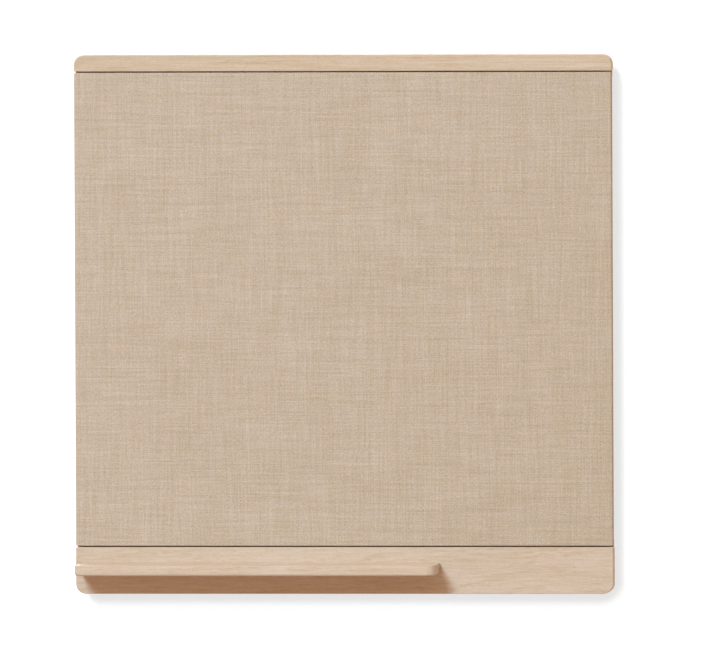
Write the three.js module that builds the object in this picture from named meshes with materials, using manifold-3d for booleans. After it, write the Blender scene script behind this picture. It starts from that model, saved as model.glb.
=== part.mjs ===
// Pin board: two oak rails, a linen-covered pin panel between them and an oak ledge on the lower rail.
// Millimetres. +X to the right, +Y towards the wall, +Z up.
// The origin is the centre of the top rail's back face, and the rails' backs lie in the plane y = 0.

import * as THREE from "three";
import { mergeVertices } from "three/addons/utils/BufferGeometryUtils.js";
import Module from "manifold-3d";

const wasm = await Module();
wasm.setup();

// Board
const boardWidth = 750;
const boardHeight = 750;
const cornerRadius = 14;

// Rails
const railThickness = 30;
const topRailHeight = 23;
const bottomRailHeight = 65;
const railInnerRadius = 1.6;
const railEase = 1;
const lipReach = 10;
const lipRoot = 8;
const lipInset = 0.8;

// Panel
const panelGap = 1.6;
const panelSideInset = 0.4;
const panelCornerRadius = 2.6;
const linenThickness = 0.8;
const linenEdgeRadius = 1.8;
const hemWidth = 36;
const mitreSlit = 0.7;
const mitreMargin = 6;
const coreThickness = 12;
const backingThickness = 3;

// Battens behind the panel, let into the rails
const battenWidth = 60;
const battenInset = 65;
const battenThickness = 12;
const battenCornerRadius = 2;
const battenEase = 0.8;
const topLap = 15;
const bottomLap = 44;

// Keyhole hangers, let into the battens
const hangerDrop = 72;
const plateWidth = 17;
const plateHeight = 50;
const plateThickness = 1.6;
const entryRadius = 5;
const slotRadius = 2.5;
const keyholeTravel = 12;
const plateScrewSpacing = 36;
const pocketRadius = 6.6;
const pocketDepth = 7.2;

// Ledge
const ledgeLength = 502;
const ledgeDepth = 80;
const ledgeThickness = 14.5;
const ledgeInset = 6.5;
const ledgeRise = 28.5;
const ledgeNoseRadius = 14;
const ledgeSquareRadius = 3.4;
const ledgeUnderRadius = 3.2;
const ledgeTopEase = 0.8;

// Ledge fixings
const counterboreDepth = 10;
const ledgeScrewEndInset = 45;
const dowelRadius = 4;
const dowelLength = 40;
const dowelChamfer = 0.8;
const dowelInset = 15;

// Rail and panel fixings
const railScrewSpacing = 36;
const panelScrewEndInset = 150;

// Screws: head radius, shank radius, rim of the head, whole length, length of the point
const railScrew = { head: 4, shank: 2, rim: 0.5, length: 25, point: 3 };
const panelScrew = { head: 3.5, shank: 1.75, rim: 0.4, length: 20, point: 3 };
const ledgeScrew = { head: 4.5, shank: 2.25, rim: 0.6, length: 50, point: 4 };
const plateScrew = { head: 2.9, shank: 1.5, rim: 0.3, length: 8, point: 1.5 };
const screwSink = 0.3;

// Wall pads
const padRadius = 6;
const padThickness = 2;
const padEase = 0.5;
const padEndInset = 24;

// Clearance between neighbours, and how far a cut runs past the face that it opens
const fit = 0.3;
const overrun = 2;

// Facets
const cornerSteps = 4;
const easeSteps = 2;
const roundSteps = 4;
const turnSteps = 16;
const weld = 1e-4;

// Heights of the seams, from the top edge down
const topEdge = topRailHeight / 2;
const bottomEdge = topEdge - boardHeight;
const topRailFoot = topEdge - topRailHeight;
const bottomRailHead = bottomEdge + bottomRailHeight;
const panelTop = topRailFoot - panelGap;
const panelFoot = bottomRailHead + panelGap;
const battenTop = topRailFoot + topLap;
const battenFoot = bottomRailHead - bottomLap;

// Layers, from the rails' backs forward
const battenFront = -battenThickness;
const hemBack = battenFront - fit;
const backingBack = hemBack - linenThickness - fit;
const coreBack = backingBack - backingThickness - fit;
const coreFront = coreBack - coreThickness;
const linenFront = coreFront - fit - linenThickness;

const materials = {
  oak: new THREE.MeshStandardMaterial({ color: 0xd6c0a8, roughness: 0.62, metalness: 0 }),
  linen: new THREE.MeshStandardMaterial({ color: 0xc7b39c, roughness: 0.95, metalness: 0 }),
  softboard: new THREE.MeshStandardMaterial({ color: 0xa98a66, roughness: 0.95, metalness: 0 }),
  plywood: new THREE.MeshStandardMaterial({ color: 0xcdb28c, roughness: 0.75, metalness: 0 }),
  beech: new THREE.MeshStandardMaterial({ color: 0xd0ab82, roughness: 0.7, metalness: 0 }),
  steel: new THREE.MeshStandardMaterial({ color: 0xb9bbbd, roughness: 0.35, metalness: 1 }),
  felt: new THREE.MeshStandardMaterial({ color: 0x8b8781, roughness: 0.98, metalness: 0 }),
};

// A closed three.js geometry as a solid that can be joined and cut
function solidOf(geometry) {
  const bare = geometry.index ? geometry.toNonIndexed() : geometry.clone();
  bare.deleteAttribute("normal");
  bare.deleteAttribute("uv");
  const merged = mergeVertices(bare, weld);
  const mesh = new wasm.Mesh({
    numProp: 3,
    vertProperties: merged.attributes.position.array,
    triVerts: new Uint32Array(merged.index.array),
  });
  return new wasm.Manifold(mesh);
}

function cutAll(body, cutters) {
  return cutters.reduce((left, cutter) => left.subtract(cutter), body);
}

function namedMesh(name, solid, material) {
  const made = solid.getMesh();
  const geometry = new THREE.BufferGeometry();
  geometry.setAttribute("position", new THREE.BufferAttribute(new Float32Array(made.vertProperties), 3));
  geometry.setIndex(new THREE.BufferAttribute(new Uint32Array(made.triVerts), 1));
  const flat = geometry.toNonIndexed();
  flat.computeVertexNormals();
  const mesh = new THREE.Mesh(flat, material);
  mesh.name = name;
  return mesh;
}

// A rectangle with a radius at each corner, in the order foot left, foot right, top right, top left
function roundedOutline(left, foot, right, top, radii) {
  const [footLeft, footRight, topRight, topLeft] = radii;
  const quarter = Math.PI / 2;
  const shape = new THREE.Shape();
  shape.absarc(left + footLeft, foot + footLeft, footLeft, 2 * quarter, 3 * quarter);
  shape.absarc(right - footRight, foot + footRight, footRight, 3 * quarter, 4 * quarter);
  shape.absarc(right - topRight, top - topRight, topRight, 0, quarter);
  shape.absarc(left + topLeft, top - topLeft, topLeft, quarter, 2 * quarter);
  shape.closePath();
  return shape;
}

function evenOutline(left, foot, right, top, radius) {
  return roundedOutline(left, foot, right, top, [radius, radius, radius, radius]);
}

function squareOutline(left, foot, right, top) {
  const corners = [
    [left, foot],
    [right, foot],
    [right, top],
    [left, top],
  ];
  return new THREE.Shape(corners.map(([x, z]) => new THREE.Vector2(x, z)));
}

// An outline extruded upwards from 0 to height, with both rims rounded inside the outline
function softExtrusion(outline, height, rim, rimSteps) {
  const geometry = new THREE.ExtrudeGeometry(outline, {
    depth: height - 2 * rim,
    curveSegments: cornerSteps,
    bevelEnabled: rim > 0,
    bevelThickness: rim,
    bevelSize: rim,
    bevelOffset: -rim,
    bevelSegments: rimSteps,
  });
  return geometry.translate(0, 0, rim);
}

// A slab in the plane of the board: its outline is seen from the front, its back face lies at y = back
function slab(outline, back, thickness, rim = 0, rimSteps = easeSteps) {
  const geometry = softExtrusion(outline, thickness, rim, rimSteps);
  return solidOf(geometry.rotateX(Math.PI / 2).translate(0, back, 0));
}

// A turned solid along Y: the profile holds [radius, distance forward of y = back]
function turned(profile, x, back, z) {
  const points = profile.map(([radius, forward]) => new THREE.Vector2(radius, -forward));
  const geometry = new THREE.LatheGeometry(points.reverse(), turnSteps);
  return solidOf(geometry).translate(x, back, z);
}

// A countersunk screw, its head's top at forward 0; grow widens it into the hole that it needs
function screwProfile(screw, grow, mouth) {
  const cone = screw.head - screw.shank;
  return [
    [0, -mouth],
    [screw.head + grow, -mouth],
    [screw.head + grow, screw.rim + grow],
    [screw.shank + grow, screw.rim + cone + grow],
    [screw.shank + grow, screw.length - screw.point + grow],
    [0, screw.length + grow],
  ];
}

function screwAt(name, screw, x, z, seat = 0) {
  const head = -seat - screwSink;
  return {
    name,
    body: turned(screwProfile(screw, 0, 0), x, head, z),
    hole: turned(screwProfile(screw, fit, seat + screwSink + overrun), x, head, z),
  };
}

const holesOf = (fixings) => fixings.map((fixing) => fixing.hole);

// Sides of the board: the battens, hangers and their screws are mirrored about x = 0
const sides = [
  { side: "left", sign: -1 },
  { side: "right", sign: 1 },
];
const battenCentre = (sign) => sign * (boardWidth / 2 - battenInset - battenWidth / 2);

// Rail screws: a pair through each end of each batten
function makeRailScrews() {
  const ends = [
    { end: "top", z: topRailFoot + topLap / 2 },
    { end: "bottom", z: bottomRailHead - bottomLap / 2 },
  ];
  return ends.flatMap(({ end, z }) =>
    sides.flatMap(({ side, sign }) =>
      sides.map(({ side: edge, sign: way }) => {
        const x = battenCentre(sign) + (way * railScrewSpacing) / 2;
        return screwAt(`${end}_${side}_rail_screw_${edge}`, railScrew, x, z);
      }),
    ),
  );
}

// Panel screws: three down each batten, into the backing board and the core
function makePanelScrews() {
  const heights = [
    { place: "upper", z: panelTop - panelScrewEndInset },
    { place: "middle", z: (panelTop + panelFoot) / 2 },
    { place: "lower", z: panelFoot + panelScrewEndInset },
  ];
  return sides.flatMap(({ side, sign }) =>
    heights.map(({ place, z }) =>
      screwAt(`${side}_panel_screw_${place}`, panelScrew, battenCentre(sign), z),
    ),
  );
}

// Ledge: where it stands on the bottom rail
const ledgeLeft = -boardWidth / 2 + ledgeInset;
const ledgeRight = ledgeLeft + ledgeLength;
const ledgeFoot = bottomEdge + ledgeRise;
const ledgeTop = ledgeFoot + ledgeThickness;
const ledgeAxis = ledgeFoot + ledgeThickness / 2;

function makeLedgeScrews() {
  const places = [
    { place: "left", x: ledgeLeft + ledgeScrewEndInset },
    { place: "middle", x: (ledgeLeft + ledgeRight) / 2 },
    { place: "right", x: ledgeRight - ledgeScrewEndInset },
  ];
  return places.map(({ place, x }) =>
    screwAt(`ledge_screw_${place}`, ledgeScrew, x, ledgeAxis, counterboreDepth),
  );
}

function dowelProfile(radius, length, chamfer) {
  return [
    [0, 0],
    [radius - chamfer, 0],
    [radius, chamfer],
    [radius, length - chamfer],
    [radius - chamfer, length],
    [0, length],
  ];
}

function makeDowels() {
  const inset = battenInset + battenWidth - ledgeInset + dowelInset;
  const places = [
    { place: "left", x: ledgeLeft + inset },
    { place: "right", x: ledgeRight - inset },
  ];
  const back = -railThickness + dowelLength / 2;
  const holeProfile = dowelProfile(dowelRadius + fit, dowelLength + 2 * fit, dowelChamfer);
  return places.map(({ place, x }) => ({
    name: `ledge_dowel_${place}`,
    body: turned(dowelProfile(dowelRadius, dowelLength, dowelChamfer), x, back, ledgeAxis),
    hole: turned(holeProfile, x, back + fit, ledgeAxis),
  }));
}

// Keyhole hangers: the seat is where the wall screw's shank rests, at the slot's upper end
const keyholeSeat = topEdge - hangerDrop;
const entryHeight = keyholeSeat - keyholeTravel;
const plateMiddle = (keyholeSeat + entryHeight) / 2;

// The entry circle with the slot rising out of it, as one closed path
function keyholePath(x) {
  const half = Math.asin(slotRadius / entryRadius);
  const up = Math.PI / 2;
  const path = new THREE.Path();
  path.absarc(x, entryHeight, entryRadius, up + half, up - half + 2 * Math.PI);
  path.absarc(x, keyholeSeat, slotRadius, 0, Math.PI);
  path.closePath();
  return path;
}

function stadium(x, foot, top, radius) {
  return evenOutline(x - radius, foot, x + radius, top, radius);
}

function plateOutline(x, grow) {
  const reach = plateHeight / 2 + grow;
  return stadium(x, plateMiddle - reach, plateMiddle + reach, plateWidth / 2 + grow);
}

function makeHangerScrews(side, x) {
  const half = plateScrewSpacing / 2;
  return [
    screwAt(`${side}_hanger_screw_upper`, plateScrew, x, plateMiddle + half),
    screwAt(`${side}_hanger_screw_lower`, plateScrew, x, plateMiddle - half),
  ];
}

function makeHanger(side, x, screws) {
  const outline = plateOutline(x, 0);
  outline.holes.push(keyholePath(x));
  const plate = slab(outline, 0, plateThickness);
  return namedMesh(`${side}_hanger`, cutAll(plate, holesOf(screws)), materials.steel);
}

// The recess that the plate lies in and the deeper pocket that the wall screw's head slides in
function hangerHousing(x) {
  const recess = slab(plateOutline(x, fit), overrun, overrun + plateThickness + fit);
  const foot = entryHeight - pocketRadius;
  const top = keyholeSeat + pocketRadius;
  const pocket = slab(stadium(x, foot, top, pocketRadius), overrun, overrun + pocketDepth);
  return recess.add(pocket);
}

function makeBatten(side, x, holes) {
  const half = battenWidth / 2;
  const outline = evenOutline(x - half, battenFoot, x + half, battenTop, battenCornerRadius);
  const board = slab(outline, 0, battenThickness, battenEase);
  return namedMesh(`${side}_batten`, cutAll(board, [hangerHousing(x), ...holes]), materials.plywood);
}

// The lap that one end of a batten lies in, open to the back and to the panel
function battenLap(x, foot, top) {
  const half = battenWidth / 2 + fit;
  const depth = battenThickness + fit;
  const outline = evenOutline(x - half, foot, x + half, top, battenCornerRadius);
  return slab(outline, overrun, overrun + depth);
}

// A rail with a thinner lip that runs on behind the panel's edge and closes the seam at the back.
// The lip stops a little short of the board's sides, so that it stays out of sight behind the panel.
function lippedRail(outline, lipFoot, lipHead) {
  const rail = slab(outline, 0, railThickness, railEase);
  const half = boardWidth / 2 - lipInset;
  const lipOutline = evenOutline(-half, lipFoot, half, lipHead, battenCornerRadius);
  return rail.add(slab(lipOutline, 0, battenThickness, battenEase));
}

function makeTopRail(holes) {
  const outline = roundedOutline(-boardWidth / 2, topRailFoot, boardWidth / 2, topEdge, [
    railInnerRadius,
    railInnerRadius,
    cornerRadius,
    cornerRadius,
  ]);
  const lipFoot = topRailFoot - lipReach;
  const lapFoot = lipFoot - battenCornerRadius - overrun;
  const laps = sides.map(({ sign }) => battenLap(battenCentre(sign), lapFoot, battenTop + fit));
  const rail = lippedRail(outline, lipFoot, topRailFoot + lipRoot);
  return namedMesh("top_rail", cutAll(rail, [...laps, ...holes]), materials.oak);
}

function makeBottomRail(holes) {
  const outline = roundedOutline(-boardWidth / 2, bottomEdge, boardWidth / 2, bottomRailHead, [
    cornerRadius,
    cornerRadius,
    railInnerRadius,
    railInnerRadius,
  ]);
  const lipHead = bottomRailHead + lipReach;
  const lapTop = lipHead + battenCornerRadius + overrun;
  const laps = sides.map(({ sign }) => battenLap(battenCentre(sign), battenFoot - fit, lapTop));
  const rail = lippedRail(outline, bottomRailHead - lipRoot, lipHead);
  return namedMesh("bottom_rail", cutAll(rail, [...laps, ...holes]), materials.oak);
}

// Ledge: its plan has a wide nose at the right end and a nearly square corner at the left.
// Two extrusions of that plan, one soft below and one eased above, meet in the ledge,
// and a straight cut leaves its back flat against the rail.
function makeLedge(holes) {
  const back = -railThickness - fit;
  const behind = back + ledgeUnderRadius + overrun;
  const front = -railThickness - ledgeDepth;
  const plan = roundedOutline(ledgeLeft, front, ledgeRight, behind, [
    ledgeSquareRadius,
    ledgeNoseRadius,
    ledgeSquareRadius,
    ledgeSquareRadius,
  ]);
  const tall = ledgeThickness + ledgeUnderRadius + overrun;
  const softBelow = solidOf(softExtrusion(plan, tall, ledgeUnderRadius, roundSteps));
  const easedAbove = solidOf(softExtrusion(plan, tall, ledgeTopEase, easeSteps));
  const rounded = softBelow
    .translate(0, 0, ledgeFoot)
    .intersect(easedAbove.translate(0, 0, ledgeTop - tall));
  const wallSide = squareOutline(
    ledgeLeft - overrun,
    ledgeFoot - overrun,
    ledgeRight + overrun,
    ledgeTop + overrun,
  );
  const trimmed = rounded.subtract(slab(wallSide, behind + overrun, behind + overrun - back));
  return namedMesh("ledge", cutAll(trimmed, holes), materials.oak);
}

// Panel: its outline, drawn in from the linen's outer face
function panelOutline(inset, radius) {
  const half = boardWidth / 2 - panelSideInset - inset;
  return evenOutline(-half, panelFoot + inset, half, panelTop - inset, radius);
}

function makePanelBoard(name, back, thickness, material, holes) {
  const inset = linenThickness + fit;
  const outline = panelOutline(inset, panelCornerRadius - inset);
  const board = slab(outline, back, thickness, linenEdgeRadius - linenThickness);
  return namedMesh(name, cutAll(board, holes), material);
}

// One mitre of the hem: a narrow cut from near the panel's corner in to the window's corner
function mitre(cornerX, cornerZ, signX, signZ) {
  const end = hemWidth + overrun;
  const half = mitreSlit / 2;
  const corners = [
    [mitreMargin, -half],
    [end, -half],
    [end, half],
    [mitreMargin, half],
  ];
  const points = corners.map(
    ([along, aside]) =>
      new THREE.Vector2(cornerX - signX * (along + aside), cornerZ - signZ * (along - aside)),
  );
  return slab(new THREE.Shape(points), hemBack + overrun, 2 * overrun);
}

// Linen: a thin shell drawn over the front and the edges, with a mitred hem turned in on the back
function makeLinenCover() {
  const depth = hemBack - linenFront;
  const outer = slab(panelOutline(0, panelCornerRadius), hemBack, depth, linenEdgeRadius);
  const hollow = slab(
    panelOutline(linenThickness, panelCornerRadius - linenThickness),
    hemBack - linenThickness,
    depth - 2 * linenThickness,
    linenEdgeRadius - linenThickness,
  );
  const window = slab(panelOutline(hemWidth, linenEdgeRadius), hemBack + overrun, 2 * overrun);
  const sideEdge = boardWidth / 2 - panelSideInset;
  const mitres = sides.flatMap(({ sign }) => [
    mitre(sign * sideEdge, panelTop, sign, 1),
    mitre(sign * sideEdge, panelFoot, sign, -1),
  ]);
  return namedMesh("linen_cover", cutAll(outer, [hollow, window, ...mitres]), materials.linen);
}

function makePads() {
  const heights = [
    { end: "top", z: 0 },
    { end: "bottom", z: (bottomEdge + bottomRailHead) / 2 },
  ];
  const profile = [
    [0, 0],
    [padRadius - padEase, 0],
    [padRadius, padEase],
    [padRadius, padThickness],
    [0, padThickness],
  ];
  return heights.flatMap(({ end, z }) =>
    sides.map(({ side, sign }) => {
      const x = sign * (boardWidth / 2 - padEndInset);
      const pad = turned(profile, x, padThickness + fit, z);
      return namedMesh(`${end}_${side}_pad`, pad, materials.felt);
    }),
  );
}

function makeBoard() {
  const board = new THREE.Group();
  const railScrews = makeRailScrews();
  const panelScrews = makePanelScrews();
  const ledgeScrews = makeLedgeScrews();
  const dowels = makeDowels();
  const battenHoles = holesOf([...railScrews, ...panelScrews]);
  const hangerScrews = sides.map(({ side, sign }) => makeHangerScrews(side, battenCentre(sign)));

  board.add(makeTopRail(holesOf(railScrews)));
  board.add(makeBottomRail(holesOf([...railScrews, ...ledgeScrews, ...dowels])));
  board.add(makeLedge(holesOf([...ledgeScrews, ...dowels])));
  board.add(makeLinenCover());
  board.add(makePanelBoard("pin_core", coreBack, coreThickness, materials.softboard, holesOf(panelScrews)));
  board.add(
    makePanelBoard("backing_board", backingBack, backingThickness, materials.plywood, holesOf(panelScrews)),
  );
  sides.forEach(({ side, sign }, place) => {
    const x = battenCentre(sign);
    const screws = hangerScrews[place];
    board.add(makeBatten(side, x, [...battenHoles, ...holesOf(screws)]));
    board.add(makeHanger(side, x, screws));
  });
  const steelScrews = [...railScrews, ...panelScrews, ...ledgeScrews, ...hangerScrews.flat()];
  steelScrews.forEach(({ name, body }) => board.add(namedMesh(name, body, materials.steel)));
  dowels.forEach(({ name, body }) => board.add(namedMesh(name, body, materials.beech)));
  board.add(...makePads());
  return board;
}

export default makeBoard();
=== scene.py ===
"""Pin board: oak rails and ledge, a linen-covered panel between them, and the fixings behind."""

import math

import bpy
import numpy as np
from mathutils import Matrix, Vector


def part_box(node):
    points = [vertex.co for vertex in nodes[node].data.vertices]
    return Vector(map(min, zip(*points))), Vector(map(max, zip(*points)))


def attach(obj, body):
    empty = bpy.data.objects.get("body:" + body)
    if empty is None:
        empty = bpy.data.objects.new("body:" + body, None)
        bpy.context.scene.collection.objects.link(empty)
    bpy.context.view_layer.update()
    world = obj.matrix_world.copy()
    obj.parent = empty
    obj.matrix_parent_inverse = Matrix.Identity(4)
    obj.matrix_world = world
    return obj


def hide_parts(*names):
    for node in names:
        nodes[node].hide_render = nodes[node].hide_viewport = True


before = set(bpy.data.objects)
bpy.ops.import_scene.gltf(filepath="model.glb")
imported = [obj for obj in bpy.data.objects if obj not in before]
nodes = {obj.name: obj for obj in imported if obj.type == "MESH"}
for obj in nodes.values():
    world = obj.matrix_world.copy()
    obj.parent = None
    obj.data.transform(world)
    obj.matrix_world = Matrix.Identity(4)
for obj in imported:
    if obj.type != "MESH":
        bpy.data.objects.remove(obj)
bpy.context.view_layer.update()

MM = 0.001

# Where things are, from the frame
linen_low, linen_high = (np.array(corner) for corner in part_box("linen_cover"))
ledge_low, ledge_high = (np.array(corner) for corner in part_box("ledge"))
rail_low, rail_high = (np.array(corner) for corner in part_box("bottom_rail"))
top_low, top_high = (np.array(corner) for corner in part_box("top_rail"))
wall_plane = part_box("top_left_pad")[1].y

# Ledge: the radii of its corners and long edges, each with its number of steps
nose_radius, nose_steps = 14 * MM, 40
square_radius, square_steps = 3.4 * MM, 10
under_radius, under_steps = 3.2 * MM, 10
top_ease, top_steps = 0.8 * MM, 5

# Linen, with the numbers of faces across and down its front and of points in each rounded corner
linen_thickness = 0.8 * MM
linen_edge_radius = 1.8 * MM
linen_corner_radius = 2.6 * MM
side_swell = 0.7 * MM
front_margin, second_ring = 6 * MM, 4 * MM
front_fall, fall_reach = 0.22 * MM, 9 * MM
hem_width = 36 * MM
mitre_radius = 0.35 * MM
mitre_tuck = 0.25 * MM
cloth_across, cloth_down, corner_points = 92, 82, 3

# Staples: the skew is in radians
staple_inset = 22 * MM
staple_pitch = 42 * MM
staple_end = 40 * MM
staple_press, press_reach = 0.26 * MM, 9 * MM
batten_clearance = 8 * MM
staple_skew, staple_seed = 0.06, 11

# Screws: depths of the thread and of the recess's lobes are shares of their radius
hanger_pitch, wood_pitch = 1.0 * MM, 1.8 * MM
thread_depth = 0.28
steps_per_turn = 5
recess_lobes, lobe_depth = 6, 0.16
tip_turns, run_in_turns = 2.2, 2

# Felt pads: the ease is a share of the thickness, the ruffle a share of the radius
pad_ease = 0.3
rim_ruffle, face_dent = 0.035, 0.08 * MM

# Backdrop: its distance behind the pads, and the band over which its painted glow fades the wall's
# shadow out
wall_gap = 33 * MM
fade_corner = 20 * MM
fade_start, fade_end = 4.2 * MM, 19.0 * MM
fade_low_shift = np.array([10.5, 0.0, -3.8]) * MM
fade_high_shift = np.array([-3.3, 0.0, -16.0]) * MM

# Camera: angles in degrees, and how far it slides along its own axes, in metres
azimuth, elevation, roll = 5.3, 2.05, -0.24
distance, slide_right, slide_up = 32.0, 0.0233, -0.0106
focal_length, sensor_width = 1151.2, 36.0


class Wiring:
    """Adds nodes to one node tree. What goes into a node is a socket or a plain value."""

    def __init__(self, tree):
        self.tree = tree

    def feed(self, made, inputs):
        """Links or sets a node's inputs, which are named or numbered."""
        for place, value in dict(inputs).items():
            if isinstance(value, bpy.types.NodeSocket):
                self.tree.links.new(value, made.inputs[place])
            else:
                made.inputs[place].default_value = value

    def node(self, kind, inputs=(), **settings):
        """A new node, its settings made and its inputs linked or set."""
        made = self.tree.nodes.new("ShaderNode" + kind)
        for name, value in settings.items():
            setattr(made, name, value)
        self.feed(made, inputs)
        return made

    def group(self, tree, inputs):
        """The outputs of a shared group, placed with its own values."""
        return self.node("Group", inputs, node_tree=tree).outputs

    def maths(self, operation, *values):
        """The result of one operation on numbers."""
        return self.node("Math", enumerate(values), operation=operation).outputs[0]

    def vector(self, operation, *values):
        """The result of one operation on vectors."""
        return self.node("VectorMath", enumerate(values), operation=operation).outputs[0]

    def length(self, value):
        """A vector's length."""
        return self.node("VectorMath", {0: value}, operation="LENGTH").outputs["Value"]

    def split(self, value):
        """A vector's three parts."""
        return self.node("SeparateXYZ", {0: value}).outputs

    def join(self, x, y, z):
        """A vector from three parts."""
        return self.node("CombineXYZ", {0: x, 1: y, 2: z}).outputs[0]

    def noise(self, place, detail=2.0, roughness=0.5):
        """Noise with features about one unit long."""
        inputs = {"Vector": place, "Scale": 1.0, "Detail": detail, "Roughness": roughness}
        return self.node("TexNoise", inputs).outputs["Fac"]

    def ramp(self, value, low, high, first=0.0, last=1.0):
        """A smooth step from first to last while the value goes from low to high."""
        inputs = {0: value, 1: low, 2: high, 3: first, 4: last}
        return self.node("MapRange", inputs, interpolation_type="SMOOTHSTEP").outputs[0]

    def blend(self, share, first, second):
        """A value that goes from first to second."""
        return self.node("Mix", {0: share, 2: first, 3: second}, data_type="FLOAT").outputs[0]

    def mix(self, share, first, second, kind="MIX"):
        """A colour that goes from first to second, or with MULTIPLY to their product."""
        inputs = {0: share, 6: first, 7: second}
        return self.node("Mix", inputs, data_type="RGBA", blend_type=kind).outputs[2]


def new_group(name, inputs, outputs):
    """A node group with named sockets: its wiring, its inputs, and the node for its outputs."""
    tree = bpy.data.node_groups.new(name, "ShaderNodeTree")
    for in_out, sockets in (("INPUT", inputs), ("OUTPUT", outputs)):
        for socket, kind in sockets.items():
            tree.interface.new_socket(socket, in_out=in_out, socket_type="NodeSocket" + kind)
    entry = tree.nodes.new("NodeGroupInput").outputs
    return Wiring(tree), entry, tree.nodes.new("NodeGroupOutput")


def new_material(name):
    """A material with a lone Principled shader: itself, its wiring and that shader."""
    material = bpy.data.materials.new(name)
    material.use_nodes = True
    shader = material.node_tree.nodes["Principled BSDF"]
    return material, Wiring(material.node_tree), shader


def finish_shader(w, shader, colour, roughness, height, relief, **plain):
    """Feeds a Principled shader; relief is the depth in metres that a height of one stands for,
    and plain values are named as its inputs, with an underscore for a space."""
    bump = w.node("Bump", {"Height": height, "Distance": relief, "Strength": 1.0}).outputs[0]
    w.feed(shader, {"Base Color": colour, "Roughness": roughness, "Normal": bump})
    w.feed(shader, {name.replace("_", " "): value for name, value in plain.items()})


# Shared effects


def make_wood_group():
    """Wood with its grain along X, which sways over the face. Rings about a heart line show as
    soft bands, and over them lie long and short fibres, patches of darker strokes, and pores."""
    inputs = {
        "Place": "Vector",
        "Heart": "Vector",
        "Tilt": "Vector",
        "Ring": "Float",
        "Sway": "Float",
        "Contrast": "Float",
        "Pore depth": "Float",
        "Pale": "Color",
        "Dark": "Color",
    }
    outputs = {"Colour": "Color", "Roughness": "Float", "Height": "Float"}
    w, given, out = new_group("wood", inputs, outputs)
    per_metre = 1 / MM
    place = w.vector("MULTIPLY", given["Place"], (per_metre,) * 3)
    seeded = w.vector("ADD", place, w.vector("MULTIPLY", given["Heart"], (7, 3, 5)))

    def stretched(where, length, width, detail=2.0, roughness=0.5):
        """Noise about its middle value, its features' length and width in millimetres."""
        scaled = w.vector("MULTIPLY", where, (1 / length, 1 / width, 1 / width))
        return w.maths("SUBTRACT", w.noise(scaled, detail, roughness), 0.5)

    sway = w.maths("MULTIPLY", stretched(seeded, length=150, width=55), given["Sway"])
    ripple = w.maths("MULTIPLY", stretched(seeded, length=36, width=9), 2.4)
    shift = w.maths("ADD", sway, ripple)
    grain = w.vector("ADD", seeded, w.join(0.0, shift, shift))

    along = w.split(place)[0]
    lean = w.vector("MULTIPLY", given["Tilt"], w.join(along, along, along))
    centred = w.vector("ADD", w.vector("SUBTRACT", place, given["Heart"]), lean)
    radius = w.maths("ADD", w.length(w.vector("MULTIPLY", centred, (0, 1, 1))), shift)
    phase = w.maths("FRACT", w.maths("DIVIDE", radius, given["Ring"]))
    late = w.maths("MULTIPLY", w.ramp(phase, 0.15, 0.8), w.ramp(phase, 0.86, 1.0, 1.0, 0.0))
    patchy = w.ramp(stretched(grain, length=150, width=14), -0.12, 0.2, 0.1, 1.0)

    tone = w.maths("MULTIPLY", w.maths("MULTIPLY", late, patchy), 0.35)
    for length, width, detail, share in (
        (95, 1.3, 2.0, 1.7),  # long fibres
        (17, 1.0, 3.0, 1.5),  # short fibres
        (60, 4.5, 2.0, 0.9),  # streaks
        (300, 45, 1.0, 0.8),  # broad patches
        (3.2, 0.9, 1.0, 1.3),  # flecks
    ):
        part = stretched(grain, length, width, detail, roughness=0.6)
        tone = w.maths("MULTIPLY_ADD", part, share, tone)
    strokes = w.ramp(stretched(grain, length=26, width=1.5), 0.06, 0.2)
    tone = w.maths("MULTIPLY_ADD", w.maths("MULTIPLY", strokes, patchy), 0.8, tone)
    tone = w.maths("MULTIPLY_ADD", tone, given["Contrast"], 0.38)
    body = w.mix(w.ramp(tone, -0.1, 1.1), given["Pale"], given["Dark"])

    dashes = w.ramp(stretched(grain, length=6.5, width=0.42, roughness=0.7), 0.10, 0.22)
    early = w.ramp(phase, 0.35, 0.0)
    pores = w.maths("MULTIPLY", dashes, w.maths("MULTIPLY_ADD", early, 0.6, 0.4))
    sunk = w.maths("MULTIPLY", pores, given["Pore depth"])
    pore_colour = w.mix(1.0, body, given["Dark"], "MULTIPLY")
    fibre = stretched(grain, length=30, width=0.8, detail=4.0, roughness=0.65)
    rough = w.maths("MULTIPLY_ADD", fibre, 0.18, 0.58)
    level = w.maths("MULTIPLY_ADD", sunk, -0.8, 0.5)
    results = {
        "Colour": w.mix(w.maths("MULTIPLY", sunk, 0.5), body, pore_colour),
        "Roughness": w.maths("MULTIPLY_ADD", sunk, 0.15, rough),
        "Height": w.maths("MULTIPLY_ADD", fibre, 0.5, level),
    }
    w.feed(out, results)
    return w.tree


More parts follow.
